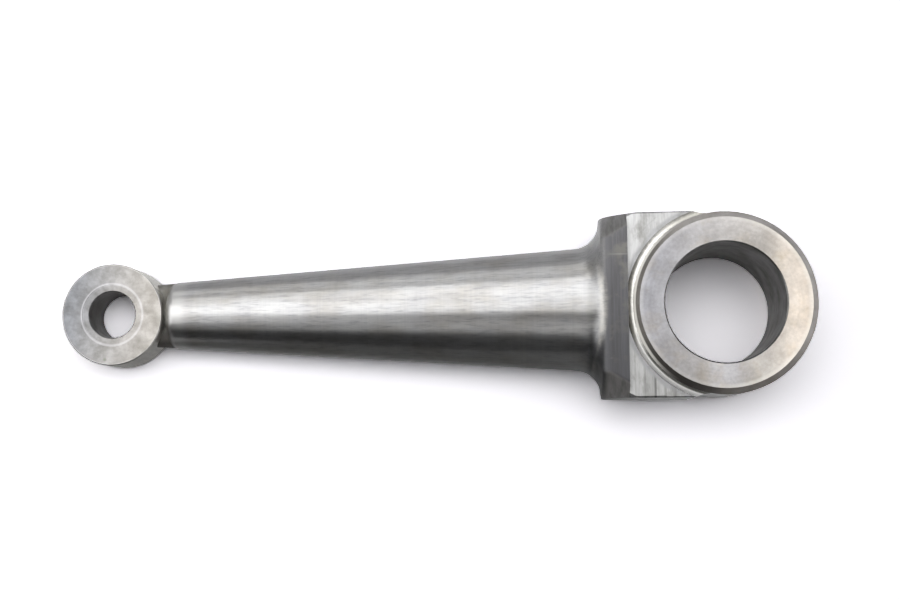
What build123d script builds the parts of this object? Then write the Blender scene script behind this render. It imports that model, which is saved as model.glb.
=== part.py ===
from build123d import *
from math import cos, radians, sin, tan
import os

# One-piece brake lever, in millimetres. The hub bore's axis is Z and its middle is the origin.
# The arm runs along -X to the eye, whose bore is parallel to the hub's.

# Hub: a short bored cylinder whose ends stand proud of the block
bore_diameter = 25.4
bore_edge_break = 0.3
hub_diameter = 38.7
hub_height = 29.8
hub_rim_chamfer = 1.3

# Block: the square-sided body that joins the hub to the arm, a little wider than the hub
block_margin = 0.45
flats_thickness = 24.0
flats_edge_break = 0.4
ridge_margin = 0.8
ridge_length = 5.75
ridge_end_radius = 2.3
shoulder_distance = 26.1
corner_taper_angle = 23.0
corner_blend_radius = 1.5
foot_radius = 1.4

# Path of the cutter that rounded the hub: a ring sunk a little into the flats, run out of the sides
contour_cutter_diameter = 12.0
contour_end_angle = 98.3
contour_path_diameter = 46.4
contour_path_depth = 0.12

# Arm: turned to a straight taper, with a radius into the block and a domed end at the eye
arm_root_diameter = 27.6
arm_tip_diameter = 14.9
arm_root_radius = 5.5
arm_tip_dome_radius = 2.0
neck_gap = 0.7
neck_diameter = 7.6
web_thickness = 5.2
web_inset = 0.1

# Eye: a bored disc with a shallow ring faced round the bore on both sides
centre_distance = 133.4
eye_diameter = 22.5
eye_thickness = 11.8
eye_rim_break = 0.25
eye_bore_diameter = 10.4
eye_bore_break = 0.15
seat_diameter = 13.4
seat_depth = 0.12

# Places worked out from the sizes above
hub_radius = hub_diameter / 2
block_width = hub_diameter + 2 * block_margin
eye_radius = eye_diameter / 2
shoulder_x = -shoulder_distance
ridge_x = shoulder_x + ridge_length
eye_x = -centre_distance
neck_start_x = eye_x + (eye_radius + eye_bore_diameter / 2) / 2
dome_x = eye_x + eye_radius + neck_gap
arm_tip_x = dome_x + arm_tip_dome_radius
arm_slope = (arm_root_diameter - arm_tip_diameter) / 2 / (shoulder_x - arm_tip_x)
ridge_thickness = arm_root_diameter + 2 * ridge_margin
contour_path_z = (flats_thickness - contour_path_depth) / 2
root_wall = (block_width - arm_root_diameter) / 2
root_radius = min(arm_root_radius, root_wall - flats_edge_break)


def arm_radius(x):
    """Radius of the tapered arm at a distance x along its axis."""
    return arm_tip_diameter / 2 + arm_slope * (x - arm_tip_x)


def both_faces(solid):
    """The solid and its mirror image below the middle plane."""
    return solid + mirror(solid, about=Plane.XY)


def hub():
    """The hub before boring: a cylinder with its two rims chamfered."""
    body = Cylinder(hub_radius, hub_height)
    rims = body.edges().filter_by(GeomType.CIRCLE)
    return chamfer(rims, hub_rim_chamfer)


def block_plan():
    """Outline of the block seen along the bore, with the cutter's run-out on both sides."""
    cutter_radius = contour_cutter_diameter / 2
    reach = hub_radius + cutter_radius
    cutter_x = reach * cos(radians(contour_end_angle))
    cutter_y = reach * sin(radians(contour_end_angle))
    length = cutter_x - shoulder_x
    outline = Pos(shoulder_x + length / 2, 0) * Rectangle(length, block_width)
    for side in (1, -1):
        outline -= Pos(cutter_x, side * cutter_y) * Circle(cutter_radius)
    return outline


def block():
    """Block with milled flats, and a proud ridge where the stock's own faces were left."""
    flats = extrude(block_plan(), flats_thickness / 2, both=True)
    flats = chamfer(flats.edges().filter_by(Axis.X), flats_edge_break)
    path = Pos(0, 0, contour_path_z) * Cylinder(contour_path_diameter / 2, contour_path_depth)
    flats = flats - both_faces(path)
    side_view = Pos(shoulder_x + ridge_length / 2, 0) * Rectangle(ridge_length, ridge_thickness)
    side_view = fillet(side_view.vertices().group_by(Axis.X)[0], ridge_end_radius)
    ridge = extrude(Plane.XZ * side_view, block_width / 2, both=True)
    return ridge + split(flats, Plane.YZ.offset(ridge_x), keep=Keep.TOP)


def corner_taper():
    """The turned cone that trims the block's four corners behind the shoulder."""
    start = block_width / 2
    length = hub_radius - shoulder_x
    rise = length * tan(radians(corner_taper_angle))
    outline = Polyline((shoulder_x, 0), (shoulder_x, start), (shoulder_x + length, start + rise),
                       (shoulder_x + length, 0), close=True)
    return revolve(Plane.XZ * make_face(outline), Axis.X)


def foot():
    """Concave foot of the hub in the cutter's path, kept within the block's outline."""
    flat = flats_thickness / 2 - contour_path_depth
    outer = hub_radius + foot_radius
    top = flat + foot_radius
    arc = RadiusArc((outer, flat), (hub_radius, top), -foot_radius)
    rest = Polyline((hub_radius, top), (bore_diameter / 2 + foot_radius, top),
                    (bore_diameter / 2 + foot_radius, flat - foot_radius), (outer, flat - foot_radius),
                    (outer, flat))
    ring = revolve(Plane.XZ * make_face([arc, *rest.edges()]), Axis.Z)
    return both_faces(ring & extrude(block_plan(), hub_height))


def arm():
    """Turned arm: taper, domed end and the neck that enters the eye."""
    end_x = ridge_x - foot_radius
    neck = neck_diameter / 2
    outline = make_face(Polyline((neck_start_x, 0), (neck_start_x, neck),
                                 (dome_x, neck), (dome_x, arm_radius(dome_x)),
                                 (end_x, arm_radius(end_x)), (end_x, 0), close=True))
    corner = outline.vertices().sort_by_distance((dome_x, arm_radius(dome_x)))[0]
    return revolve(Plane.XZ * fillet(corner, arm_tip_dome_radius), Axis.X)


def web():
    """Flat web beside the neck, as wide as the arm, that carries the eye."""
    sections = []
    for x in (neck_start_x, arm_tip_x + neck_gap):
        width = 2 * (arm_radius(x) - web_inset)
        sections.append(Plane.YZ.offset(x) * SlotOverall(width, web_thickness))
    return loft(sections)


def eye():
    """The eye before boring, with its sharp rims broken."""
    body = Cylinder(eye_radius, eye_thickness)
    rims = body.edges().filter_by(GeomType.CIRCLE)
    return Pos(eye_x, 0, 0) * chamfer(rims, eye_rim_break)


def bore(diameter, length, edge_break):
    """Cutter for a through bore with both its edges broken."""
    radius = diameter / 2
    mouth = Pos(0, 0, (length - edge_break) / 2) * Cone(radius, radius + edge_break, edge_break)
    return Cylinder(radius, length) + both_faces(mouth)


def seats():
    """Cutter for the shallow rings faced round the eye's bore."""
    seat = Pos(0, 0, (eye_thickness - seat_depth) / 2) * Cylinder(seat_diameter / 2, seat_depth)
    return both_faces(seat)


def root_edges(body):
    """Edges where the arm's cone meets the block's shoulder."""
    cone = body.faces().filter_by(GeomType.CONE).sort_by(SortBy.AREA)[-1]
    return cone.edges().filter_by(lambda edge: edge.center().X > shoulder_x - arm_root_radius)


def taper_edges(body):
    """Edges where the corner tapers run into the ridge's faces and sides."""
    tapers = body.faces().filter_by(GeomType.CONE).sort_by(SortBy.AREA)[:-1]
    runs = tapers.edges().filter_by(GeomType.CIRCLE, reverse=True)
    return runs.filter_by(lambda edge: edge.center().X < ridge_x)


shank = (block() & corner_taper()) + arm()
shank = fillet(root_edges(shank), root_radius)
shank = fillet(taper_edges(shank), corner_blend_radius)
lever = shank + hub() + foot() + web() + eye()
lever = lever - bore(bore_diameter, hub_height, bore_edge_break)
lever = lever - Pos(eye_x, 0, 0) * seats()
lever = lever - Pos(eye_x, 0, 0) * bore(eye_bore_diameter, eye_thickness - 2 * seat_depth, eye_bore_break)

os.makedirs("parts", exist_ok=True)
export_step(lever, "parts/brake_lever.step")
print("solids", len(lever.solids()), "volume", round(lever.volume, 1), "box", lever.bounding_box())
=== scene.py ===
import math

import bmesh
import bpy
from mathutils import Matrix, Vector


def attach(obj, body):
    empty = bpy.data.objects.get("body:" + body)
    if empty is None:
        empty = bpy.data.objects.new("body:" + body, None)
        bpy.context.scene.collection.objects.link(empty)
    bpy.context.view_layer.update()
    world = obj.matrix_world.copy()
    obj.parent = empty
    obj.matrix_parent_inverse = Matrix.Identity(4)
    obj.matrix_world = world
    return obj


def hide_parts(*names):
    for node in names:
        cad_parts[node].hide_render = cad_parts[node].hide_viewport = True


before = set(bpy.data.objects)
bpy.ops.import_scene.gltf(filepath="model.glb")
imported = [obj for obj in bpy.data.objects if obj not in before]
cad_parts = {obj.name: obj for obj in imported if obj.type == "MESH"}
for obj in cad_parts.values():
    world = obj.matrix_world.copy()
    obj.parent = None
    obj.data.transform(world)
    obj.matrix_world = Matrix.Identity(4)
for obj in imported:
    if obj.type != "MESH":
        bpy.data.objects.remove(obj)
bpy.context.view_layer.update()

# The lever's body: one piece of medium carbon steel bar, machined nearly all over and left bare.
# The arm is turned, the block is milled, and the hub and the eye are faced and bored. Its form
# is the solid's own; only the shading across the solid's seam lines is evened out here.
MM = 0.001
# Points closer than this are one, an edge sharper than this stays sharp, and two normals closer
# than this are the same.
weld_distance = 0.002 * MM
sharp_edge = math.radians(20)
same_lean = 0.01
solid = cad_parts["brake_lever"]

form = bmesh.new()
form.from_mesh(solid.data)
solid_normal = form.loops.layers.float_vector.new("solid_normal")
even_normal = form.loops.layers.float_vector.new("even_normal")
corners = iter(solid.data.corner_normals)
for face in form.faces:
    for corner in face.loops:
        corner[solid_normal] = next(corners).vector
bmesh.ops.remove_doubles(form, verts=form.verts, dist=weld_distance)
for point in form.verts:
    leans = []
    for corner in point.link_loops:
        if all((corner[solid_normal] - lean).length > same_lean for lean in leans):
            leans.append(corner[solid_normal].copy())
    for corner in point.link_loops:
        same_surface = [lean for lean in leans
                        if lean.dot(corner[solid_normal]) > math.cos(sharp_edge)]
        corner[even_normal] = sum(same_surface, Vector()).normalized()
for face in form.faces:
    face.smooth = True
body = bpy.data.meshes.new("lever_body")
form.to_mesh(body)
form.free()
body.normals_split_custom_set([corner.vector for corner in body.attributes["even_normal"].data])
body.attributes.remove(body.attributes["solid_normal"])
body.attributes.remove(body.attributes["even_normal"])

lever = bpy.data.objects.new("lever_body", body)
bpy.context.scene.collection.objects.link(lever)
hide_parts("brake_lever")
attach(lever, "root")

# Arm, shoulder and corners: turned between centres to a straight taper, with a radius into the
# shoulder and a cone that trims the block's corners. The ridge across the block was never cut,
# and keeps the rolled bar's skin: a thin grey-black oxide, with streaks across the block.
shoulder_x = -26.1
ridge_step_x = -20.35
skin_edge_x = -25.2
neck_x = -120.2
corner_radius_at_shoulder = 19.8
corner_rise = math.tan(math.radians(23))


def linear(hex_colour):
    """An sRGB hex colour as the four linear values that a socket takes."""
    channels = [int(hex_colour[i:i + 2], 16) / 255 for i in (1, 3, 5)]
    levels = [c / 12.92 if c <= 0.04045 else ((c + 0.055) / 1.055) ** 2.4 for c in channels]
    return (*levels, 1.0)


def connect(material, node, inputs):
    """Link or set a node's inputs; a colour Mix takes its factor in 0 and its colours in 6 and 7."""
    for name, value in inputs.items():
        if isinstance(value, bpy.types.NodeSocket):
            material.node_tree.links.new(value, node.inputs[name])
        else:
            node.inputs[name].default_value = value


def add(material, kind, settings, inputs):
    """Add a node with its settings and its inputs."""
    node = material.node_tree.nodes.new("ShaderNode" + kind)
    for name, value in settings.items():
        setattr(node, name, value)
    connect(material, node, inputs)
    return node


def bare_steel(name):
    """A new steel, its shader, and the lever's own coordinates in metres."""
    material = bpy.data.materials.new(name)
    material.use_nodes = True
    shader = material.node_tree.nodes["Principled BSDF"]
    shader.inputs["Metallic"].default_value = 1.0
    return material, shader, add(material, "TexCoord", {}, {}).outputs["Object"]


def places_in_mm(material, at):
    """The X, Y and Z of each place on the lever, in millimetres."""
    return add(material, "SeparateXYZ", {}, {0: add(material, "Mapping", {}, {
        "Vector": at, "Scale": [1 / MM] * 3}).outputs[0]}).outputs


def finish_surface(material, test):
    """Give a material to each face that the test picks by its middle in millimetres and its normal."""
    body.materials.append(material)
    slot = len(body.materials) - 1
    for face in body.polygons:
        if test(face.center / MM, face.normal):
            face.material_index = slot


# Settings that many nodes share, and the range that most of a noise's values lie in.
mix_colours = {"data_type": "RGBA"}
tint = {"data_type": "RGBA", "blend_type": "MULTIPLY"}
mix_numbers = {"data_type": "FLOAT"}
soft_step = {"interpolation_type": "SMOOTHSTEP"}
noise_spread = {"From Min": 0.35, "From Max": 0.65}
# How far in millimetres a face's middle may lie off a flat and off a round wall; and how much of
# an axis a normal holds at least where its face looks along it, and at most where it looks across.
slack = 0.02
wall_slack = 0.05
along = 0.9
across = 0.5

# Turned steel: fine rings from the tool's feed, and a gloss drawn out along the arm.
turned, turned_shader, turned_at = bare_steel("turned steel")
# A finishing feed leaves rings 0.2 mm apart; they are drawn 0.5 mm apart so that they show.
ring_spacing = 0.5 * MM
rings = add(turned, "TexNoise", {}, {
    "Vector": add(turned, "Mapping", {}, {
        "Vector": turned_at,
        "Scale": (1 / ring_spacing, 0.02 / ring_spacing, 0.02 / ring_spacing)}).outputs[0],
    "Scale": 1.0, "Detail": 4.0, "Roughness": 0.6})
# Handling leaves soft scuffs along the arm, about 0.9 mm apart and 18 mm long.
scuff_spacing = 0.9 * MM
scuffs = add(turned, "TexNoise", {}, {
    "Vector": add(turned, "Mapping", {}, {
        "Vector": turned_at,
        "Scale": (0.05 / scuff_spacing, 1 / scuff_spacing, 1 / scuff_spacing)}).outputs[0],
    "Scale": 1.0, "Detail": 4.0, "Roughness": 0.65})
# Stains from oily hands are patches of about 6 mm.
stain_size = 6 * MM
stains = add(turned, "TexNoise", {}, {
    "Vector": add(turned, "Mapping", {}, {
        "Vector": turned_at, "Scale": (0.6 / stain_size, 1 / stain_size, 1 / stain_size)}).outputs[0],
    "Scale": 1.0, "Detail": 4.0, "Roughness": 0.55})
# Short scratches lie along the arm, about 0.4 mm wide and 5 mm long, where it was wiped and carried.
scratch_spacing = 0.4 * MM
short_scratches = add(turned, "TexNoise", {}, {
    "Vector": add(turned, "Mapping", {}, {
        "Vector": turned_at,
        "Scale": (0.08 / scratch_spacing, 1 / scratch_spacing, 1 / scratch_spacing)}).outputs[0],
    "Scale": 1.0, "Detail": 2.0, "Roughness": 0.7})
ring_colour = add(turned, "Mix", mix_colours, {
    0: add(turned, "MapRange", {}, {"Value": rings.outputs[0], **noise_spread}).outputs[0],
    6: linear("#949494"), 7: linear("#989897")})
scuff_colour = add(turned, "Mix", tint, {
    0: add(turned, "MapRange", {}, {
        "Value": scuffs.outputs[0], "From Min": 0.4, "From Max": 0.7}).outputs[0],
    6: ring_colour.outputs[2], 7: linear("#eeeef0")})
scratched_colour = add(turned, "Mix", tint, {
    0: add(turned, "MapRange", {}, {
        "Value": short_scratches.outputs[0], "From Min": 0.5, "From Max": 0.72}).outputs[0],
    6: scuff_colour.outputs[2], 7: linear("#dfdfe2")})
bare_colour = add(turned, "Mix", tint, {
    0: add(turned, "MapRange", {}, {
        "Value": stains.outputs[0], "From Min": 0.42, "From Max": 0.66}).outputs[0],
    6: scratched_colour.outputs[2], 7: linear("#f0ede8")})

# The oxide skin: streaks across the block about 0.8 mm wide, and paler patches of about 4 mm.
streak_spacing = 0.8 * MM
streaks = add(turned, "TexNoise", {}, {
    "Vector": add(turned, "Mapping", {}, {
        "Vector": turned_at,
        "Scale": (1 / streak_spacing, 0.05 / streak_spacing, 0.2 / streak_spacing)}).outputs[0],
    "Scale": 1.0, "Detail": 4.0, "Roughness": 0.6})
skin_patch_size = 4 * MM
skin_patches = add(turned, "TexNoise", {}, {
    "Vector": add(turned, "Mapping", {}, {
        "Vector": turned_at, "Scale": [1 / skin_patch_size] * 3}).outputs[0],
    "Scale": 1.0, "Detail": 4.0, "Roughness": 0.6})
streak_colour = add(turned, "Mix", mix_colours, {
    0: add(turned, "MapRange", {}, {"Value": streaks.outputs[0], **noise_spread}).outputs[0],
    6: linear("#5e5d5f"), 7: linear("#767679")})
skin_colour = add(turned, "Mix", mix_colours, {
    0: add(turned, "MapRange", {}, {"Value": skin_patches.outputs[0], "From Min": 0.52, "From Max": 0.7,
                                    "To Max": 0.6}).outputs[0],
    6: streak_colour.outputs[2], 7: linear("#88867f")})

# Where the skin lies: on the ridge, from a ragged line at the shoulder to the milled step.
skin_raggedness = 1.2
skin_begins = {"From Min": skin_edge_x - 0.2, "From Max": skin_edge_x + 1.2}
turned_mm = places_in_mm(turned, turned_at)
ragged_x = add(turned, "Math", {"operation": "MULTIPLY_ADD"}, {
    0: streaks.outputs[0], 1: skin_raggedness, 2: turned_mm["X"]})
past_shoulder = add(turned, "MapRange", soft_step, {"Value": ragged_x.outputs[0], **skin_begins})
before_step = add(turned, "Math", {"operation": "LESS_THAN"}, {
    0: turned_mm["X"], 1: ridge_step_x + slack})
skin_share = add(turned, "Math", {"operation": "MULTIPLY"}, {
    0: past_shoulder.outputs[0], 1: before_step.outputs[0]})

# Where the corner cone was turned: close under the cone's own radius at each place.
corner_blend = {"From Min": -0.4, "From Max": 0.0}
cone_radius = add(turned, "Math", {"operation": "MULTIPLY_ADD"}, {
    0: turned_mm["X"], 1: corner_rise, 2: corner_radius_at_shoulder - shoulder_x * corner_rise})
from_axis = add(turned, "VectorMath", {"operation": "LENGTH"}, {0: add(turned, "Mapping", {}, {
    "Vector": turned_at, "Scale": (0, 1 / MM, 1 / MM)}).outputs[0]})
under_cone = add(turned, "Math", {"operation": "SUBTRACT"}, {
    0: from_axis.outputs["Value"], 1: cone_radius.outputs[0]})
corner_share = add(turned, "MapRange", soft_step, {"Value": under_cone.outputs[0], **corner_blend})
# The ridge is painted blackest on its near side, as shade.
ridge_shade_sides = {"From Min": 18.0, "From Max": -12.0}
ridge_near_shade = add(turned, "MapRange", {}, {"Value": turned_mm["Y"], **ridge_shade_sides})
ridge_shaded_colour = add(turned, "Mix", tint, {
    0: ridge_near_shade.outputs[0], 6: skin_colour.outputs[2], 7: linear("#c2c2c4")})
# The near corners are painted a little paler than the far ones, to lift the shade on that side.
corner_lift_sides = {"From Min": -12.0, "From Max": 12.0}
corner_lifted_colour = add(turned, "Mix", mix_colours, {
    0: add(turned, "MapRange", {}, {"Value": turned_mm["Y"], **corner_lift_sides}).outputs[0],
    6: linear("#8a8886"), 7: linear("#858482")})
corner_streaked = add(turned, "Mix", tint, {
    0: add(turned, "MapRange", {}, {
        "Value": streaks.outputs[0], "From Min": 0.4, "From Max": 0.65}).outputs[0],
    6: corner_lifted_colour.outputs[2], 7: linear("#dcdbdc")})
cornered = add(turned, "Mix", mix_colours, {
    0: corner_share.outputs[0], 6: ridge_shaded_colour.outputs[2], 7: corner_streaked.outputs[2]})
# The shoulder radius is painted a little darker than the arm, as shade in the concave radius,
# and darker still on its near side, as painted shade.
radius_begins = {"From Min": -29.8, "From Max": -28.0}
radius_shade_begins = {"From Min": -4.0, "From Max": -9.0}
in_radius = add(turned, "MapRange", soft_step, {"Value": turned_mm["X"], **radius_begins})
radius_shaded_colour = add(turned, "Mix", tint, {
    0: in_radius.outputs[0], 6: bare_colour.outputs[2], 7: linear("#e6e6e6")})
radius_near_shade = add(turned, "MapRange", soft_step, {
    "Value": turned_mm["Y"], **radius_shade_begins, "To Max": in_radius.outputs[0]})
radius_near_shaded = add(turned, "Mix", tint, {
    0: radius_near_shade.outputs[0], 6: radius_shaded_colour.outputs[2], 7: linear("#bababd")})
shank_colour = add(turned, "Mix", mix_colours, {
    0: skin_share.outputs[0], 6: radius_near_shaded.outputs[2], 7: cornered.outputs[2]})

# Near the end of the shoulder radius a brighter ring is painted as a highlight, broken by fine
# steps, and only where the radius runs clear of the block's corners.
fillet_highlight_x = shoulder_x + 1.3
fillet_highlight_bow = 0.01
fillet_highlight_width = {"From Min": 1.2, "From Max": 0.3}
fillet_highlight_limit = {"From Min": 16.0, "From Max": 14.6}
ring_bow = add(turned, "Math", {"operation": "MULTIPLY"}, {
    0: turned_mm["Y"], 1: turned_mm["Y"]})
bowed_x = add(turned, "Math", {"operation": "MULTIPLY_ADD"}, {
    0: ring_bow.outputs[0], 1: fillet_highlight_bow, 2: ragged_x.outputs[0]})
ring_offset = add(turned, "Math", {"operation": "ABSOLUTE"}, {
    0: add(turned, "Math", {"operation": "SUBTRACT"}, {0: bowed_x.outputs[0], 1: fillet_highlight_x}).outputs[0]})
fillet_highlight_ring = add(turned, "MapRange", soft_step, {
    "Value": ring_offset.outputs[0], **fillet_highlight_width})
fillet_highlight_clear = add(turned, "MapRange", soft_step, {
    "Value": from_axis.outputs["Value"], **fillet_highlight_limit, "To Max": fillet_highlight_ring.outputs[0]})
fillet_highlight_broken = add(turned, "MapRange", {}, {
    "Value": scuffs.outputs[0], "From Min": 0.3, "From Max": 0.6, "To Max": fillet_highlight_clear.outputs[0]})
fillet_highlighted_colour = add(turned, "Mix", mix_colours, {
    0: fillet_highlight_broken.outputs[0], 6: shank_colour.outputs[2], 7: linear("#92908c")})

# Two scratches run along the arm over the ridge, a quarter of a millimetre wide.
scratch_y = (10.5, -11.5)
scratch_width = {"From Min": 0.22, "From Max": 0.08}
scratched = fillet_highlighted_colour
for y in scratch_y:
    off_scratch = add(turned, "Math", {"operation": "ABSOLUTE"}, {
        0: add(turned, "Math", {"operation": "SUBTRACT"}, {0: turned_mm["Y"], 1: y}).outputs[0]})
    scratch_line = add(turned, "MapRange", soft_step, {
        "Value": off_scratch.outputs[0], **scratch_width, "To Max": 0.6})
    broken_line = add(turned, "MapRange", {}, {
        "Value": stains.outputs[0], "From Min": 0.4, "From Max": 0.6, "To Max": scratch_line.outputs[0]})
    scratch_share = add(turned, "Math", {"operation": "MULTIPLY"}, {
        0: broken_line.outputs[0], 1: skin_share.outputs[0]})
    scratched = add(turned, "Mix", mix_colours, {
        0: scratch_share.outputs[0], 6: scratched.outputs[2], 7: linear("#969593")})

# The neck and web by the eye are mottled with old dirt, and painted darker on the near side as shade.
neck_begins = {"From Min": neck_x + 0.3, "From Max": neck_x - 0.8}
neck_shade_ends = {"From Min": -5.0, "From Max": -1.0}
at_neck = add(turned, "MapRange", soft_step, {"Value": turned_mm["X"], **neck_begins})
neck_dirt_and_shade_tone = add(turned, "Mix", mix_colours, {
    0: add(turned, "MapRange", soft_step, {
        "Value": turned_mm["Y"], **neck_shade_ends}).outputs[0],
    6: linear("#5c5955"), 7: linear("#92918d")})
dirt_mottled = add(turned, "Mix", tint, {
    0: add(turned, "MapRange", {}, {
        "Value": skin_patches.outputs[0], "From Min": 0.4, "From Max": 0.6}).outputs[0],
    6: neck_dirt_and_shade_tone.outputs[2], 7: linear("#c9c6c0")})
# The arm's rounded end is painted brighter than the taper, as a highlight.
tip_highlight_begins = {"From Min": neck_x + 4.5, "From Max": neck_x + 1.5}
tip_highlight_share = add(turned, "MapRange", soft_step, {
    "Value": turned_mm["X"], **tip_highlight_begins, "To Max": 0.8})
tip_highlighted = add(turned, "Mix", mix_colours, {
    0: tip_highlight_share.outputs[0], 6: scratched.outputs[2], 7: linear("#a2a1a0")})
arm_colour = add(turned, "Mix", mix_colours, {
    0: at_neck.outputs[0], 6: tip_highlighted.outputs[2], 7: dirt_mottled.outputs[2]})

# Skin and dirt are partly matt; the cut steel is all metal. The rings are shallower than the scuffs.
ring_share = 0.2
matt_share = add(turned, "Math", {"operation": "MAXIMUM"}, {
    0: skin_share.outputs[0], 1: at_neck.outputs[0]})
arm_roughness = add(turned, "Mix", mix_numbers, {
    0: matt_share.outputs[0],
    2: add(turned, "MapRange", {}, {"Value": scuffs.outputs[0], **noise_spread,
                                    "To Min": 0.31, "To Max": 0.37}).outputs[0],
    3: add(turned, "MapRange", {}, {"Value": streaks.outputs[0], **noise_spread,
                                    "To Min": 0.58, "To Max": 0.68}).outputs[0]})
arm_height = add(turned, "Mix", mix_numbers, {
    0: skin_share.outputs[0],
    2: add(turned, "Math", {"operation": "MULTIPLY_ADD"}, {
        0: rings.outputs[0], 1: ring_share, 2: scuffs.outputs[0]}).outputs[0],
    3: streaks.outputs[0]})
arm_relief = add(turned, "Bump", {}, {
    "Height": arm_height.outputs[0], "Distance": 0.006 * MM, "Strength": 1.0})
connect(turned, turned_shader, {
    "Base Color": arm_colour.outputs[2], "Roughness": arm_roughness.outputs[0],
    "Normal": arm_relief.outputs[0],
    "Metallic": add(turned, "MapRange", {}, {
        "Value": matt_share.outputs[0], "To Min": 1.0, "To Max": 0.4}).outputs[0],
    "Anisotropic": 0.7, "Tangent": add(turned, "CombineXYZ", {}, {"X": 1.0}).outputs[0]})
finish_surface(turned, lambda place, normal: True)

# Flats of the block beside the hub: cut with a face mill in passes straight across, and sunk
# a little more where the cutter that rounded the hub went round. Bright, with fine lines along Y.
# The flats' broken edges reach half a millimetre down from them.
flat_z = 12.0
flat_edge = 0.5


def reach_in_mm(material, at):
    """The distance of each place from the hub's axis, in millimetres."""
    return add(material, "VectorMath", {"operation": "LENGTH"}, {0: add(material, "Mapping", {}, {
        "Vector": at, "Scale": (1 / MM, 1 / MM, 0)}).outputs[0]}).outputs["Value"]


milled, milled_shader, milled_at = bare_steel("face-milled steel")
# A face mill's teeth leave lines 0.15 mm apart; they are drawn 0.6 mm apart so that they show.
mill_line_spacing = 0.6 * MM
mill_lines = add(milled, "TexNoise", {}, {
    "Vector": add(milled, "Mapping", {}, {
        "Vector": milled_at,
        "Scale": (1 / mill_line_spacing, 0.08 / mill_line_spacing, 1 / mill_line_spacing)}).outputs[0],
    "Scale": 1.0, "Detail": 4.0, "Roughness": 0.65})
# Each pass of the mill is 2.1 mm over from the last and shines a little differently.
pass_width = 2.1 * MM
in_passes = add(milled, "SeparateXYZ", {}, {0: add(milled, "Mapping", {}, {
    "Vector": milled_at, "Scale": [1 / pass_width] * 3}).outputs[0]})
mill_pass = add(milled, "TexWhiteNoise", {"noise_dimensions": "1D"}, {
    "W": add(milled, "Math", {"operation": "FLOOR"}, {0: in_passes.outputs["X"]}).outputs[0]})
mill_colour = add(milled, "Mix", mix_colours, {
    0: add(milled, "MapRange", {}, {"Value": mill_lines.outputs[0], **noise_spread}).outputs[0],
    6: linear("#a0a0a0"), 7: linear("#b9b9b9")})
passed_colour = add(milled, "Mix", tint, {
    0: mill_pass.outputs["Value"], 6: mill_colour.outputs[2], 7: linear("#dcdcdb")})
# A dark line is left where two passes meet, and the near flats are painted darker, as shade.
near_flat_shade = {"From Min": 8.0, "From Max": -12.0}
line_in_pass = {"From Min": 0.72, "From Max": 0.85}
pass_place = add(milled, "Math", {"operation": "FRACT"}, {0: in_passes.outputs["X"]})
milled_mm = places_in_mm(milled, milled_at)
near_shade_share = add(milled, "MapRange", soft_step, {"Value": milled_mm["Y"], **near_flat_shade})
pass_line = add(milled, "MapRange", soft_step, {
    "Value": pass_place.outputs[0], **line_in_pass,
    "To Max": add(milled, "Math", {"operation": "MULTIPLY"}, {
        0: near_shade_share.outputs[0], 1: mill_pass.outputs["Value"]}).outputs[0]})
lined_colour = add(milled, "Mix", tint, {
    0: pass_line.outputs[0], 6: passed_colour.outputs[2], 7: linear("#bcbcba")})
flat_shaded_colour = add(milled, "Mix", tint, {
    0: near_shade_share.outputs[0], 6: lined_colour.outputs[2], 7: linear("#e6e6e5")})
# Dents and dirt from use, patches of about 3 mm.
flat_dirt_size = 3 * MM
flat_dirt = add(milled, "TexNoise", {}, {
    "Vector": add(milled, "Mapping", {}, {
        "Vector": milled_at,
        "Scale": (1 / flat_dirt_size, 0.5 / flat_dirt_size, 1 / flat_dirt_size)}).outputs[0],
    "Scale": 1.0, "Detail": 4.0, "Roughness": 0.6})
dirty_flat = add(milled, "Mix", tint, {
    0: add(milled, "MapRange", {}, {
        "Value": flat_dirt.outputs[0], "From Min": 0.5, "From Max": 0.7}).outputs[0],
    6: flat_shaded_colour.outputs[2], 7: linear("#c8c7c4")})
mill_reach = reach_in_mm(milled, milled_at)
# The cutter dulled its path near the foot; the dull ring has a ragged edge.
dull_raggedness = 2.4
dull_ends = {"From Min": 23.2, "From Max": 22.4}
ragged_reach = add(milled, "Math", {"operation": "MULTIPLY_ADD"}, {
    0: flat_dirt.outputs[0], 1: dull_raggedness, 2: mill_reach})
in_path = add(milled, "MapRange", soft_step, {"Value": ragged_reach.outputs[0], **dull_ends})
# The dull path is painted darker on its near side too, as shade.
path_steel = add(milled, "Mix", mix_colours, {
    0: near_shade_share.outputs[0], 6: linear("#8e8e8f"), 7: linear("#828283")})
path_marked = add(milled, "Mix", tint, {
    0: add(milled, "MapRange", {}, {
        "Value": flat_dirt.outputs[0], "From Min": 0.45, "From Max": 0.65}).outputs[0],
    6: path_steel.outputs[2], 7: linear("#dededc")})
path_colour = add(milled, "Mix", mix_colours, {
    0: in_path.outputs[0], 6: dirty_flat.outputs[2], 7: path_marked.outputs[2]})
flat_roughness = add(milled, "MapRange", {}, {"Value": mill_lines.outputs[0], **noise_spread,
                                              "To Min": 0.32, "To Max": 0.42})
flat_relief = add(milled, "Bump", {}, {
    "Height": mill_lines.outputs[0], "Distance": 0.006 * MM, "Strength": 1.0})
connect(milled, milled_shader, {
    "Base Color": path_colour.outputs[2], "Roughness": flat_roughness.outputs[0],
    "Normal": flat_relief.outputs[0],
    "Anisotropic": 0.3, "Tangent": add(milled, "CombineXYZ", {}, {"X": 1.0}).outputs[0]})
# The flats' broken edges were milled with them.
finish_surface(milled, lambda place, normal: place.x > ridge_step_x + slack
               and flat_z - flat_edge < abs(place.z) < flat_z + slack)

# Sides of the block: the steel's two long sides beside the hub, milled square with the side of the
# cutter. They are duller than the flats, with lines along X.
block_side_y = 19.8
side_edge = 0.5
side_reach = 19.6
side_milled, side_shader, side_at = bare_steel("side-milled steel")
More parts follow.
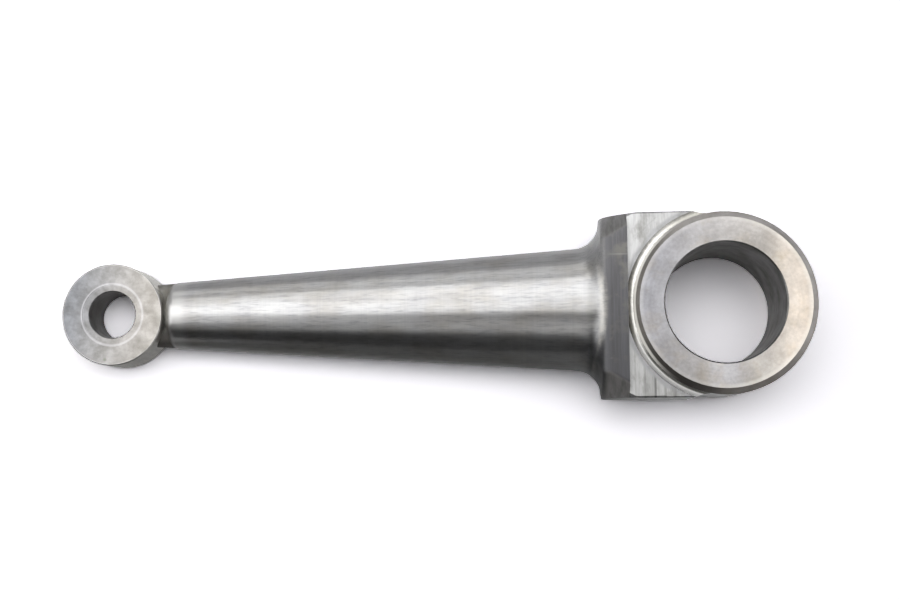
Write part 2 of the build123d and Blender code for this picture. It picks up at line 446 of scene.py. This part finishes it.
# The cutter's side leaves lines along X about 0.8 mm apart.
side_line_spacing = 0.8 * MM
side_lines = add(side_milled, "TexNoise", {}, {
    "Vector": add(side_milled, "Mapping", {}, {
        "Vector": side_at,
        "Scale": (0.1 / side_line_spacing, 0.3 / side_line_spacing, 1 / side_line_spacing)}).outputs[0],
    "Scale": 1.0, "Detail": 4.0, "Roughness": 0.6})
side_spread = add(side_milled, "MapRange", {}, {"Value": side_lines.outputs[0], **noise_spread})
side_colour = add(side_milled, "Mix", mix_colours, {
    0: side_spread.outputs[0], 6: linear("#7c7b7a"), 7: linear("#949493")})
side_roughness = add(side_milled, "MapRange", {}, {
    "Value": side_spread.outputs[0], "To Min": 0.36, "To Max": 0.46})
side_relief = add(side_milled, "Bump", {}, {
    "Height": side_lines.outputs[0], "Distance": 0.01 * MM, "Strength": 1.0})
connect(side_milled, side_shader, {
    "Base Color": side_colour.outputs[2], "Roughness": side_roughness.outputs[0],
    "Normal": side_relief.outputs[0],
    "Anisotropic": 0.3, "Tangent": add(side_milled, "CombineXYZ", {}, {"Z": 1.0}).outputs[0]})
finish_surface(side_milled, lambda place, normal: place.x > shoulder_x - wall_slack
               and abs(place.y) > block_side_y - side_edge and place.xy.length > side_reach
               and abs(normal.y) > along)

# Hub wall and foot: a ball-cornered cutter went round the hub and left a wide bright concave
# foot, and it cut the step of the ridge. The eye's wall was turned, and has the same even shine.
hub_radius = 19.35
foot_reach = 20.75
path_z = 11.88
chamfer_foot_z = 13.6
wall_lean = 0.1
foot_lean = 0.05
contour, contour_shader, contour_at = bare_steel("contour-milled steel")
# The cutter's feed leaves marks down the wall 0.9 mm apart.
wall_mark_spacing = 0.9 * MM
wall_marks = add(contour, "TexNoise", {}, {
    "Vector": add(contour, "Mapping", {}, {
        "Vector": contour_at,
        "Scale": (1 / wall_mark_spacing, 1 / wall_mark_spacing, 0.2 / wall_mark_spacing)}).outputs[0],
    "Scale": 1.0, "Detail": 3.0, "Roughness": 0.6})
wall_spread = add(contour, "MapRange", {}, {"Value": wall_marks.outputs[0], **noise_spread})
wall_colour = add(contour, "Mix", mix_colours, {
    0: wall_spread.outputs[0], 6: linear("#b2b1ad"), 7: linear("#cbc9c4")})
wall_mm = places_in_mm(contour, contour_at)
# On the far side the wall and foot are painted a little darker, as shade toning down their highlight.
far_wall_shade_x = {"From Min": -15.0, "From Max": -8.0}
far_wall_shade_y = {"From Min": 0.0, "From Max": 10.0}
far_wall_shade = add(contour, "MapRange", soft_step, {
    "Value": wall_mm["X"], **far_wall_shade_x,
    "To Max": add(contour, "MapRange", {}, {"Value": wall_mm["Y"], **far_wall_shade_y}).outputs[0]})
wall_far_shaded = add(contour, "Mix", tint, {
    0: far_wall_shade.outputs[0], 6: wall_colour.outputs[2], 7: linear("#c2c1be")})
# On the near side the wall and inner foot are painted dark as shade, and along the foot's outer
# edge alone a fine pale frosted line is painted as a highlight.
near_wall_shade_reach = {"From Min": 20.0, "From Max": 19.7}
near_wall_shade_side = {"From Min": -5.0, "From Max": -11.0}
foot_highlight_reach = {"From Min": 19.75, "From Max": 20.05}
foot_highlight_side = {"From Min": -6.0, "From Max": -10.0}
wall_reach = reach_in_mm(contour, contour_at)
near_wall_shade = add(contour, "MapRange", soft_step, {
    "Value": wall_reach, **near_wall_shade_reach,
    "To Max": add(contour, "MapRange", {}, {"Value": wall_mm["Y"], **near_wall_shade_side}).outputs[0]})
wall_near_shaded = add(contour, "Mix", tint, {
    0: near_wall_shade.outputs[0], 6: wall_far_shaded.outputs[2], 7: linear("#6a6a68")})
foot_highlight_line = add(contour, "MapRange", soft_step, {
    "Value": wall_reach, **foot_highlight_reach,
    "To Max": add(contour, "MapRange", {}, {"Value": wall_mm["Y"], **foot_highlight_side}).outputs[0]})
on_foot = add(contour, "Math", {"operation": "LESS_THAN"}, {
    0: wall_reach, 1: foot_reach + wall_slack})
foot_highlight_share = add(contour, "Math", {"operation": "MULTIPLY"}, {
    0: foot_highlight_line.outputs[0], 1: on_foot.outputs[0]})
wall_foot_highlighted = add(contour, "Mix", mix_colours, {
    0: foot_highlight_share.outputs[0], 6: wall_near_shaded.outputs[2], 7: linear("#f0efed")})
wall_metal = add(contour, "MapRange", {}, {
    "Value": foot_highlight_share.outputs[0], "To Min": 1.0, "To Max": 0.1})
wall_roughness = add(contour, "MapRange", {}, {
    "Value": wall_spread.outputs[0], "To Min": 0.44, "To Max": 0.52})
wall_relief = add(contour, "Bump", {}, {
    "Height": wall_marks.outputs[0], "Distance": 0.004 * MM, "Strength": 1.0})
connect(contour, contour_shader, {
    "Base Color": wall_foot_highlighted.outputs[2], "Roughness": wall_roughness.outputs[0],
    "Normal": wall_relief.outputs[0],
    "Metallic": wall_metal.outputs[0]})
finish_surface(contour, lambda place, normal: place.x > ridge_step_x - wall_slack
               and hub_radius - wall_slack < place.xy.length < foot_reach + wall_slack
               and abs(place.z) > path_z + slack / 2 and normal.xy.length > foot_lean)
finish_surface(contour, lambda place, normal: abs(place.x - ridge_step_x) < wall_slack
               and normal.x > along)
# The hub's straight wall was milled with the side of the cutter, as the block's sides were.
finish_surface(side_milled, lambda place, normal: abs(place.xy.length - hub_radius) < wall_slack
               and abs(place.z) < chamfer_foot_z and abs(normal.z) < wall_lean)

# Hub chamfers: both rims of the steel hub, turned off at 45 degrees on the lathe. They are dull,
# and painted darker on the side towards the arm, as shade.
hub_face_radius = 18.05
chamfered, chamfer_shader, chamfer_at = bare_steel("turned chamfer")
# Stains round the chamfer are about 4 mm long.
chamfer_stain_size = 4 * MM
chamfer_stains = add(chamfered, "TexNoise", {}, {
    "Vector": add(chamfered, "Mapping", {}, {
        "Vector": chamfer_at, "Scale": [1 / chamfer_stain_size] * 3}).outputs[0],
    "Scale": 1.0, "Detail": 4.0, "Roughness": 0.6})
chamfer_spread = add(chamfered, "MapRange", {}, {
    "Value": chamfer_stains.outputs[0], **noise_spread})
chamfer_mm = places_in_mm(chamfered, chamfer_at)
# The chamfer is painted darkest towards the arm and on its near side, as shade.
chamfer_shade_length = {"From Min": -16.0, "From Max": 12.0}
chamfer_shade_near_side = {"From Min": 0.0, "From Max": -12.0}
chamfer_arm_shade = add(chamfered, "Mix", mix_colours, {
    0: add(chamfered, "MapRange", soft_step, {
        "Value": chamfer_mm["X"], **chamfer_shade_length}).outputs[0],
    6: linear("#918e8b"), 7: linear("#a8a5a3")})
chamfer_near_shade = add(chamfered, "Mix", tint, {
    0: add(chamfered, "MapRange", {}, {"Value": chamfer_mm["Y"], **chamfer_shade_near_side}).outputs[0],
    6: chamfer_arm_shade.outputs[2], 7: linear("#d6d4d1")})
chamfer_stained = add(chamfered, "Mix", tint, {
    0: chamfer_spread.outputs[0], 6: chamfer_near_shade.outputs[2], 7: linear("#e0dedb")})
# The chamfer's outer edge beside the block is painted bright and rough, as a highlight.
chamfer_highlight_reach = {"From Min": 18.75, "From Max": 18.95}
chamfer_highlight_beside_block = {"From Min": -9.0, "From Max": -17.0}
chamfer_reach = reach_in_mm(chamfered, chamfer_at)
chamfer_edge_highlight = add(chamfered, "MapRange", soft_step, {
    "Value": chamfer_reach, **chamfer_highlight_reach,
    "To Max": add(chamfered, "MapRange", soft_step, {
        "Value": chamfer_mm["X"], **chamfer_highlight_beside_block}).outputs[0]})
chamfer_colour = add(chamfered, "Mix", mix_colours, {
    0: chamfer_edge_highlight.outputs[0], 6: chamfer_stained.outputs[2], 7: linear("#dedcd7")})
chamfer_roughness = add(chamfered, "Mix", mix_numbers, {
    0: chamfer_edge_highlight.outputs[0],
    2: add(chamfered, "MapRange", {}, {
        "Value": chamfer_spread.outputs[0], "To Min": 0.34, "To Max": 0.42}).outputs[0],
    3: 0.6})
chamfer_relief = add(chamfered, "Bump", {}, {
    "Height": chamfer_stains.outputs[0], "Distance": 0.004 * MM, "Strength": 1.0})
connect(chamfered, chamfer_shader, {
    "Base Color": chamfer_colour.outputs[2], "Roughness": chamfer_roughness.outputs[0],
    "Normal": chamfer_relief.outputs[0]})
finish_surface(chamfered, lambda place, normal: hub_face_radius < place.xy.length < hub_radius - slack
               and abs(place.z) > chamfer_foot_z and across < abs(normal.z) < along)

# Hub faces: faced on the lathe, rubbed smooth by the washers beside them, and mottled with
# faint blue and straw stains. Fine circles of the tool can just be seen.
hub_half = 14.9
faced, faced_shader, faced_at = bare_steel("faced steel")
# Stains are patches of about 4.5 mm, and the grain of the rubbed steel about 0.7 mm.
face_stain_size = 4.5 * MM
face_stains = add(faced, "TexNoise", {}, {
    "Vector": add(faced, "Mapping", {}, {
        "Vector": faced_at, "Scale": [1 / face_stain_size] * 3}).outputs[0],
    "Scale": 1.0, "Detail": 5.0, "Roughness": 0.62})
face_grain_size = 0.7 * MM
face_grain = add(faced, "TexNoise", {}, {
    "Vector": add(faced, "Mapping", {}, {
        "Vector": faced_at, "Scale": [1 / face_grain_size] * 3}).outputs[0],
    "Scale": 1.0, "Detail": 3.0, "Roughness": 0.6})
# The facing tool's circles are 0.1 mm apart; they are drawn 0.6 mm apart.
face_circle_spacing = 0.6 * MM
face_reach = reach_in_mm(faced, faced_at)
face_circles = add(faced, "TexNoise", {"noise_dimensions": "1D"}, {
    "W": face_reach, "Scale": MM / face_circle_spacing, "Detail": 2.0})
# The steel warms from blue by the arm to straw beyond the bore, and is painted lighter the same
# way, as light on the end away from the arm.
warm_and_lit_way = (1.0, -0.15, 0.0)
face_warm_and_lit_span = {"From Min": -16 * MM, "From Max": 8 * MM}
face_warmth_and_light = add(faced, "MapRange", {}, {
    "Value": add(faced, "VectorMath", {"operation": "DOT_PRODUCT"}, {
        0: faced_at, 1: warm_and_lit_way}).outputs["Value"],
    **face_warm_and_lit_span})
face_tint_and_light = add(faced, "Mix", mix_colours, {
    0: face_warmth_and_light.outputs[0], 6: linear("#87878b"), 7: linear("#a8a49f")})
# The far end of the face is painted brightest, as a highlight, and one patch beside the bore is
# rubbed a little brighter.
far_highlight_x = {"From Min": 7.0, "From Max": 16.5}
patch_middle = (0.0, -15.0, 0.0)
patch_edge = {"From Min": 6.0, "From Max": 1.5}
face_mm = places_in_mm(faced, faced_at)
far_end_highlight = add(faced, "MapRange", soft_step, {"Value": face_mm["X"], **far_highlight_x})
face_far_highlighted = add(faced, "Mix", mix_colours, {
    0: far_end_highlight.outputs[0], 6: face_tint_and_light.outputs[2], 7: linear("#d2c8bd")})
from_patch = add(faced, "VectorMath", {"operation": "DISTANCE"}, {0: add(faced, "Mapping", {}, {
    "Vector": faced_at, "Scale": (1 / MM, 1 / MM, 0)}).outputs[0], 1: patch_middle})
in_patch = add(faced, "MapRange", soft_step, {
    "Value": from_patch.outputs["Value"], **patch_edge, "To Max": 0.6})
face_base = add(faced, "Mix", mix_colours, {
    0: in_patch.outputs[0], 6: face_far_highlighted.outputs[2], 7: linear("#afafb4")})
face_stained = add(faced, "Mix", tint, {
    0: add(faced, "MapRange", {}, {
        "Value": face_stains.outputs[0], "From Min": 0.38, "From Max": 0.66}).outputs[0],
    6: face_base.outputs[2], 7: linear("#e6e5e4")})
# The straw stains are the same noise moved aside, so that they lie elsewhere.
straw_shift = (7, 3, 0)
face_straw = add(faced, "TexNoise", {}, {
    "Vector": add(faced, "Mapping", {}, {
        "Vector": faced_at, "Location": straw_shift, "Scale": [1 / face_stain_size] * 3}).outputs[0],
    "Scale": 1.0, "Detail": 4.0, "Roughness": 0.6})
face_tinted = add(faced, "Mix", tint, {
    0: add(faced, "MapRange", {}, {
        "Value": face_straw.outputs[0], "From Min": 0.5, "From Max": 0.72}).outputs[0],
    6: face_stained.outputs[2], 7: linear("#faf5ec")})
circle_share = 0.25
face_worked = add(faced, "Math", {"operation": "MULTIPLY_ADD"}, {
    0: face_circles.outputs[0], 1: circle_share, 2: face_grain.outputs[0]})
face_fine = add(faced, "Mix", tint, {
    0: 1.0, 6: face_tinted.outputs[2],
    7: add(faced, "MapRange", {}, {"Value": face_worked.outputs[0], "From Min": 0.45, "From Max": 0.8,
                                   "To Min": 0.91, "To Max": 1.06}).outputs[0]})
# The rim is worn pale where the face meets the chamfer, and painted brighter on the side away from
# the arm, as a highlight.
rim_highlight_way = (1.0, -0.2, 0.0)
rim_highlight_length = {"From Min": -6 * MM, "From Max": 15 * MM}
rim_reach = {"From Min": 17.0, "From Max": 17.7}
rim_highlight_side = add(faced, "MapRange", soft_step, {
    "Value": add(faced, "VectorMath", {"operation": "DOT_PRODUCT"}, {
        0: faced_at, 1: rim_highlight_way}).outputs["Value"],
    **rim_highlight_length, "To Min": 0.12, "To Max": 0.4})
rim_line = add(faced, "MapRange", soft_step, {"Value": face_reach, **rim_reach})
rim_share = add(faced, "Math", {"operation": "MULTIPLY"}, {
    0: rim_line.outputs[0], 1: rim_highlight_side.outputs[0]})
face_colour = add(faced, "Mix", mix_colours, {
    0: rim_share.outputs[0], 6: face_fine.outputs[2], 7: linear("#cfccc6")})
face_roughness = add(faced, "MapRange", {}, {"Value": face_stains.outputs[0], **noise_spread,
                                             "To Min": 0.32, "To Max": 0.4})
face_relief = add(faced, "Bump", {}, {
    "Height": face_worked.outputs[0], "Distance": 0.004 * MM, "Strength": 1.0})
face_tangent = add(faced, "VectorMath", {"operation": "NORMALIZE"}, {0: add(faced, "Mapping", {}, {
    "Vector": faced_at, "Scale": (1, 1, 0)}).outputs[0]})
connect(faced, faced_shader, {
    "Base Color": face_colour.outputs[2], "Roughness": face_roughness.outputs[0],
    "Normal": face_relief.outputs[0],
    "Anisotropic": 0.4, "Tangent": face_tangent.outputs[0]})
finish_surface(faced, lambda place, normal: place.xy.length < hub_face_radius
               and abs(place.z) > hub_half - slack and abs(normal.z) > along)

# Hub bore and eye bore: drilled through the solid steel, then bored and reamed to size for a shaft
# and a pin. Their walls are painted dark brown: old oil, and the shade deep in the bores.
hub_bore_radius = 12.7
reamed, reamed_shader, reamed_at = bare_steel("reamed steel")
# The reamer's marks run round the bore, drawn 0.8 mm apart; oil stains are about 5 mm.
reamer_spacing = 0.8 * MM
reamer_marks = add(reamed, "TexNoise", {}, {
    "Vector": add(reamed, "Mapping", {}, {
        "Vector": reamed_at,
        "Scale": (0.08 / reamer_spacing, 0.08 / reamer_spacing, 1 / reamer_spacing)}).outputs[0],
    "Scale": 1.0, "Detail": 3.0, "Roughness": 0.6})
oil_size = 5 * MM
oil_stains = add(reamed, "TexNoise", {}, {
    "Vector": add(reamed, "Mapping", {}, {"Vector": reamed_at, "Scale": [1 / oil_size] * 3}).outputs[0],
    "Scale": 1.0, "Detail": 4.0, "Roughness": 0.6})
bore_oil_and_shade_colour = add(reamed, "Mix", mix_colours, {
    0: add(reamed, "MapRange", {}, {"Value": reamer_marks.outputs[0], **noise_spread}).outputs[0],
    6: linear("#33302e"), 7: linear("#413e3b")})
oiled_colour = add(reamed, "Mix", tint, {
    0: add(reamed, "MapRange", {}, {
        "Value": oil_stains.outputs[0], "From Min": 0.4, "From Max": 0.65}).outputs[0],
    6: bore_oil_and_shade_colour.outputs[2], 7: linear("#e3dacd")})
bore_roughness = add(reamed, "MapRange", {}, {"Value": oil_stains.outputs[0], **noise_spread,
                                              "To Min": 0.3, "To Max": 0.42})
bore_relief = add(reamed, "Bump", {}, {
    "Height": reamer_marks.outputs[0], "Distance": 0.005 * MM, "Strength": 1.0})
connect(reamed, reamed_shader, {
    "Base Color": oiled_colour.outputs[2], "Roughness": bore_roughness.outputs[0],
    "Normal": bore_relief.outputs[0]})
finish_surface(reamed, lambda place, normal: place.xy.length < hub_bore_radius + slack)

# Eye: a disc turned about its own bore and faced on both sides, with a shallow ring cut round the
# bore for a washer. It is rubbed to a soft grey, warmer towards the arm, where it is also painted
# lighter, as light falling on that side.
eye_x = -133.4
eye_radius = 11.25
eye_half = 5.9
eye_edge = 0.4
eye_bore_radius = 5.2
seat_radius = 6.7


def from_eye(place):
    """Distance of a place from the eye's axis."""
    return math.hypot(place.x - eye_x, place.y)


eye_faced, eye_shader, eye_at = bare_steel("rubbed steel")
eye_place = add(eye_faced, "Mapping", {}, {
    "Vector": eye_at, "Location": (-eye_x * MM, 0, 0), "Scale": (1, 1, 0)})
# Stains are patches of about 3 mm, and the grain about 0.7 mm.
eye_stain_size = 3 * MM
eye_stains = add(eye_faced, "TexNoise", {}, {
    "Vector": add(eye_faced, "Mapping", {}, {
        "Vector": eye_at, "Scale": [1 / eye_stain_size] * 3}).outputs[0],
    "Scale": 1.0, "Detail": 5.0, "Roughness": 0.6})
eye_grain_size = 0.7 * MM
eye_grain = add(eye_faced, "TexNoise", {}, {
    "Vector": add(eye_faced, "Mapping", {}, {
        "Vector": eye_at, "Scale": [1 / eye_grain_size] * 3}).outputs[0],
    "Scale": 1.0, "Detail": 3.0, "Roughness": 0.6})
# The eye is painted lighter towards the arm, as light falling on that side, as well as warmer.
eye_warm_and_lit_span = {"From Min": -9 * MM, "From Max": 9 * MM}
eye_warmth_and_light = add(eye_faced, "MapRange", {}, {
    "Value": add(eye_faced, "VectorMath", {"operation": "DOT_PRODUCT"}, {
        0: eye_place.outputs[0], 1: warm_and_lit_way}).outputs["Value"], **eye_warm_and_lit_span})
eye_tint_and_light = add(eye_faced, "Mix", mix_colours, {
    0: eye_warmth_and_light.outputs[0], 6: linear("#646568"), 7: linear("#878480")})
eye_stained = add(eye_faced, "Mix", tint, {
    0: add(eye_faced, "MapRange", {}, {
        "Value": eye_stains.outputs[0], "From Min": 0.38, "From Max": 0.66}).outputs[0],
    6: eye_tint_and_light.outputs[2], 7: linear("#e2e1de")})
eye_fine = add(eye_faced, "Mix", tint, {
    0: 1.0, 6: eye_stained.outputs[2],
    7: add(eye_faced, "MapRange", {}, {"Value": eye_grain.outputs[0], **noise_spread,
                                       "To Min": 0.91, "To Max": 1.06}).outputs[0]})
# The edge of the washer's ring catches the light as a fine pale circle.
circle_radius = seat_radius + 0.1
circle_width = {"From Min": 0.4, "From Max": 0.1}
eye_reach = add(eye_faced, "VectorMath", {"operation": "LENGTH"}, {0: add(eye_faced, "Mapping", {}, {
    "Vector": eye_place.outputs[0], "Scale": [1 / MM] * 3}).outputs[0]})
off_circle = add(eye_faced, "Math", {"operation": "ABSOLUTE"}, {
    0: add(eye_faced, "Math", {"operation": "SUBTRACT"}, {
        0: eye_reach.outputs["Value"], 1: circle_radius}).outputs[0]})
pale_circle = add(eye_faced, "MapRange", soft_step, {
    "Value": off_circle.outputs[0], **circle_width, "To Max": 0.25})
eye_ringed = add(eye_faced, "Mix", mix_colours, {
    0: pale_circle.outputs[0], 6: eye_fine.outputs[2], 7: linear("#b4b3b6")})
# The rim's broken edge is rubbed bright.
eye_rim_begins = {"From Min": 10.85, "From Max": 11.05}
eye_rim = add(eye_faced, "MapRange", soft_step, {
    "Value": eye_reach.outputs["Value"], **eye_rim_begins, "To Max": 0.5})
eye_rimmed = add(eye_faced, "Mix", mix_colours, {
    0: eye_rim.outputs[0], 6: eye_ringed.outputs[2], 7: linear("#c9c8c5")})
# One small dark nick near the rim, from a blow.
nick = Vector((-134.9, -9.95, eye_half))
nick_edge = {"From Min": 0.55, "From Max": 0.15}
from_nick = add(eye_faced, "VectorMath", {"operation": "DISTANCE"}, {0: add(eye_faced, "Mapping", {}, {
    "Vector": eye_at, "Scale": [1 / MM] * 3}).outputs[0], 1: nick})
in_nick = add(eye_faced, "MapRange", soft_step, {
    "Value": from_nick.outputs["Value"], **nick_edge, "To Max": 0.8})
eye_colour = add(eye_faced, "Mix", mix_colours, {
    0: in_nick.outputs[0], 6: eye_rimmed.outputs[2], 7: linear("#5b5d55")})
eye_roughness = add(eye_faced, "MapRange", {}, {"Value": eye_stains.outputs[0], **noise_spread,
                                                "To Min": 0.34, "To Max": 0.42})
eye_relief = add(eye_faced, "Bump", {}, {
    "Height": eye_grain.outputs[0], "Distance": 0.004 * MM, "Strength": 1.0})
connect(eye_faced, eye_shader, {
    "Base Color": eye_colour.outputs[2], "Roughness": eye_roughness.outputs[0],
    "Normal": eye_relief.outputs[0],
    "Anisotropic": 0.4, "Tangent": add(eye_faced, "VectorMath", {"operation": "NORMALIZE"}, {
        0: eye_place.outputs[0]}).outputs[0]})
finish_surface(eye_faced, lambda place, normal: from_eye(place) < eye_radius + slack
               and abs(place.z) > eye_half - eye_edge and abs(normal.z) > across)
finish_surface(contour, lambda place, normal: abs(from_eye(place) - eye_radius) < wall_slack
               and abs(normal.z) < across)
finish_surface(reamed, lambda place, normal: from_eye(place) < eye_bore_radius + slack)

# The floor: a sheet of white paper under the lever. The thick hub tips the lever until the eye's
# far rim touches, so the sheet leans by that angle.
floor_half = 3.0
hub_face_edge = -hub_face_radius * MM
eye_face_edge = -144.4 * MM
tilt = math.atan((hub_half - eye_half) * MM / (hub_face_edge - eye_face_edge))
floor_normal = Vector((math.sin(tilt), 0, math.cos(tilt)))
floor_point = Vector((hub_face_edge, 0, -hub_half * MM))
floor_turn = floor_normal.to_track_quat("Z", "Y").to_matrix().to_4x4()
floor_form = bmesh.new()
bmesh.ops.create_grid(floor_form, x_segments=1, y_segments=1, size=floor_half)
floor_form.transform(Matrix.Translation(floor_point) @ floor_turn)
floor_mesh = bpy.data.meshes.new("floor")
floor_form.to_mesh(floor_mesh)
floor_form.free()
floor = bpy.data.objects.new("floor", floor_mesh)
bpy.context.scene.collection.objects.link(floor)
# Matt paper: pure white to the eye, and its own pale grey to the steel and as a bounce, with the
# arm's own shade on it darker in the steel.
paper_to_eye = (2.1, 2.07, 2.16, 1.0)
paper_to_steel = (1.4, 1.4, 1.43, 1.0)
arm_middle_x = -82 * MM
shade_length = {"From Min": 74 * MM, "From Max": 46 * MM}
shade_side = {"From Min": 5 * MM, "From Max": -25 * MM}
paper = bpy.data.materials.new("white paper")
paper.use_nodes = True
paper.node_tree.nodes.remove(paper.node_tree.nodes["Principled BSDF"])
paper_path = add(paper, "LightPath", {}, {})
paper_at = add(paper, "TexCoord", {}, {}).outputs["Object"]
paper_place = add(paper, "SeparateXYZ", {}, {0: paper_at})
off_middle = add(paper, "Math", {"operation": "ABSOLUTE"}, {
    0: add(paper, "Math", {"operation": "SUBTRACT"}, {
        0: paper_place.outputs["X"], 1: arm_middle_x}).outputs[0]})
beside_arm = add(paper, "MapRange", soft_step, {"Value": off_middle.outputs[0], **shade_length})
near_side = add(paper, "MapRange", soft_step, {
    "Value": paper_place.outputs["Y"], **shade_side, "To Max": beside_arm.outputs[0]})
arm_shade = add(paper, "Math", {"operation": "MULTIPLY"}, {
    0: near_side.outputs[0], 1: paper_path.outputs["Is Glossy Ray"]})
paper_bounce = add(paper, "Mix", mix_colours, {
    0: arm_shade.outputs[0], 6: paper_to_steel, 7: linear("#a0a0a0")})
paper_tone = add(paper, "Mix", {"data_type": "RGBA", "clamp_result": False}, {
    0: paper_path.outputs["Is Camera Ray"], 6: paper_bounce.outputs[2], 7: paper_to_eye})
# Past the lamps' reach the sheet runs on white to the eye, as a studio's backdrop does.
lever_middle = (-60 * MM, 0.0, 0.0)
far_from_lever = {"From Min": 190 * MM, "From Max": 380 * MM}
paper_reach = add(paper, "VectorMath", {"operation": "DISTANCE"}, {0: paper_at, 1: lever_middle})
far_share = add(paper, "MapRange", soft_step, {
    "Value": paper_reach.outputs["Value"], **far_from_lever,
    "To Max": paper_path.outputs["Is Camera Ray"]})
connect(paper, paper.node_tree.nodes["Material Output"], {
    "Surface": add(paper, "MixShader", {}, {
        0: far_share.outputs[0],
        1: add(paper, "BsdfDiffuse", {}, {"Color": paper_tone.outputs[2]}).outputs[0],
        2: add(paper, "Emission", {}, {"Color": (1, 1, 1, 1), "Strength": 1.0}).outputs[0]}).outputs[0]})
floor_mesh.materials.append(paper)

# The room: plain white all round, with no picture in it. It is white to the eye, softer in the
# steel, and dim as a lamp.
room = bpy.data.worlds.new("room")
room.use_nodes = True
room_path = add(room, "LightPath", {}, {})
room_in_steel = add(room, "MapRange", {}, {
    "Value": room_path.outputs["Is Glossy Ray"], "To Min": 0.1, "To Max": 0.6})
room_level = add(room, "Mix", mix_numbers, {
    0: room_path.outputs["Is Camera Ray"], 2: room_in_steel.outputs[0], 3: 1.0})
connect(room, room.node_tree.nodes["Background"], {
    "Color": (1, 1, 1, 1), "Strength": room_level.outputs[0]})
bpy.context.scene.world = room

# The lamps: two light the paper, and the steel shows soft boxes overhead, over the lever's far side,
# past both of its ends, and a thin one on its near side. Each stands 0.8 m from the lever's middle.
lamp_distance = 0.8


def soft_box(name, tilt_y, tilt_x, depth_y, width_x, radiance, lights_paper):
    """A soft box round the lever's middle, tilted from overhead towards +Y and +X, in degrees."""
    lamp = bpy.data.lights.new(name, "AREA")
    lamp.shape = "RECTANGLE"
    lamp.size = width_x
    lamp.size_y = depth_y
    lamp.energy = radiance * math.pi * width_x * depth_y
    box = bpy.data.objects.new(name, lamp)
    bpy.context.scene.collection.objects.link(box)
    turn = Matrix.Rotation(math.radians(tilt_x), 4, "Y") @ Matrix.Rotation(-math.radians(tilt_y), 4, "X")
    box.matrix_world = Matrix.Translation(lever_middle) @ turn @ Matrix.Translation((0, 0, lamp_distance))
    box.visible_camera = False
    box.visible_diffuse = lights_paper
    box.visible_glossy = not lights_paper


soft_box("paper_lamp", tilt_y=12, tilt_x=3, depth_y=0.42, width_x=0.5, radiance=1.8, lights_paper=True)
soft_box("paper_strip", tilt_y=6, tilt_x=0, depth_y=0.3, width_x=2.0, radiance=1.75, lights_paper=True)
soft_box("overhead", tilt_y=11, tilt_x=-6, depth_y=0.46, width_x=0.6, radiance=2.25, lights_paper=False)
soft_box("key", tilt_y=42, tilt_x=-4, depth_y=0.42, width_x=0.62, radiance=3.6, lights_paper=False)
soft_box("far_side", tilt_y=77, tilt_x=0, depth_y=0.38, width_x=1.0, radiance=1.25, lights_paper=False)
soft_box("past_the_eye", tilt_y=1, tilt_x=-41, depth_y=0.8, width_x=0.78, radiance=2.5, lights_paper=False)
soft_box("past_the_hub", tilt_y=0, tilt_x=84, depth_y=0.9, width_x=0.24, radiance=1.3, lights_paper=False)
soft_box("near_strip", tilt_y=-40, tilt_x=4, depth_y=0.36, width_x=0.62, radiance=1.25, lights_paper=False)

# The cards: black, seen by the steel alone, so that its shaded side stays dark. One stands close on
# the near side, a tall one stands behind it, and a strip overhead parts the arm's two pale lines.
black_card = bpy.data.materials.new("black card")
black_card.use_nodes = True
connect(black_card, black_card.node_tree.nodes["Principled BSDF"], {
    "Base Color": linear("#1c1c22"), "Roughness": 0.9})


def stand_card(name, width, height, middle, turn_x):
    """A black card of a width and height about its middle, turned about X in degrees."""
    card_form = bmesh.new()
    bmesh.ops.create_grid(card_form, x_segments=1, y_segments=1, size=0.5)
    bmesh.ops.scale(card_form, verts=card_form.verts, vec=(width, height, 1.0))
    card_form.transform(Matrix.Translation(middle) @ Matrix.Rotation(math.radians(turn_x), 4, "X"))
    card_mesh = bpy.data.meshes.new(name)
    card_form.to_mesh(card_mesh)
    card_form.free()
    card_mesh.materials.append(black_card)
    card = bpy.data.objects.new(name, card_mesh)
    card.visible_camera = False
    card.visible_diffuse = False
    bpy.context.scene.collection.objects.link(card)


stand_card("near_card", width=0.5, height=0.24, middle=(-0.24, -0.25, 0.10), turn_x=90)
stand_card("tall_card", width=1.5, height=1.9, middle=(-0.70, -0.62, 1.05), turn_x=90)
stand_card("overhead_card", width=0.58, height=0.1, middle=(0.04, -0.105, 0.42), turn_x=0)

# The camera: nearly overhead, a little to the arm's near side. Its place and lens were fitted to
# the round edges of the hub and the eye.
camera_place = Vector((-37.155, -28.506, 335.814)) * MM
camera_aim = Vector((-58.94, 2.64, 0)) * MM
camera_up = Vector((0.01554, 0.99570, 0.09134))
forward = (camera_aim - camera_place).normalized()
right = forward.cross(camera_up).normalized()
camera_turn = Matrix((right, right.cross(forward), -forward)).transposed().to_4x4()
camera_data = bpy.data.cameras.new("camera")
camera_data.lens = 60.98
camera_data.sensor_width = 36.0
camera_data.clip_start = 0.01
camera = bpy.data.objects.new("camera", camera_data)
camera.matrix_world = Matrix.Translation(camera_place) @ camera_turn
bpy.context.scene.collection.objects.link(camera)
bpy.context.scene.camera = camera
bpy.context.scene.view_settings.view_transform = "Standard"
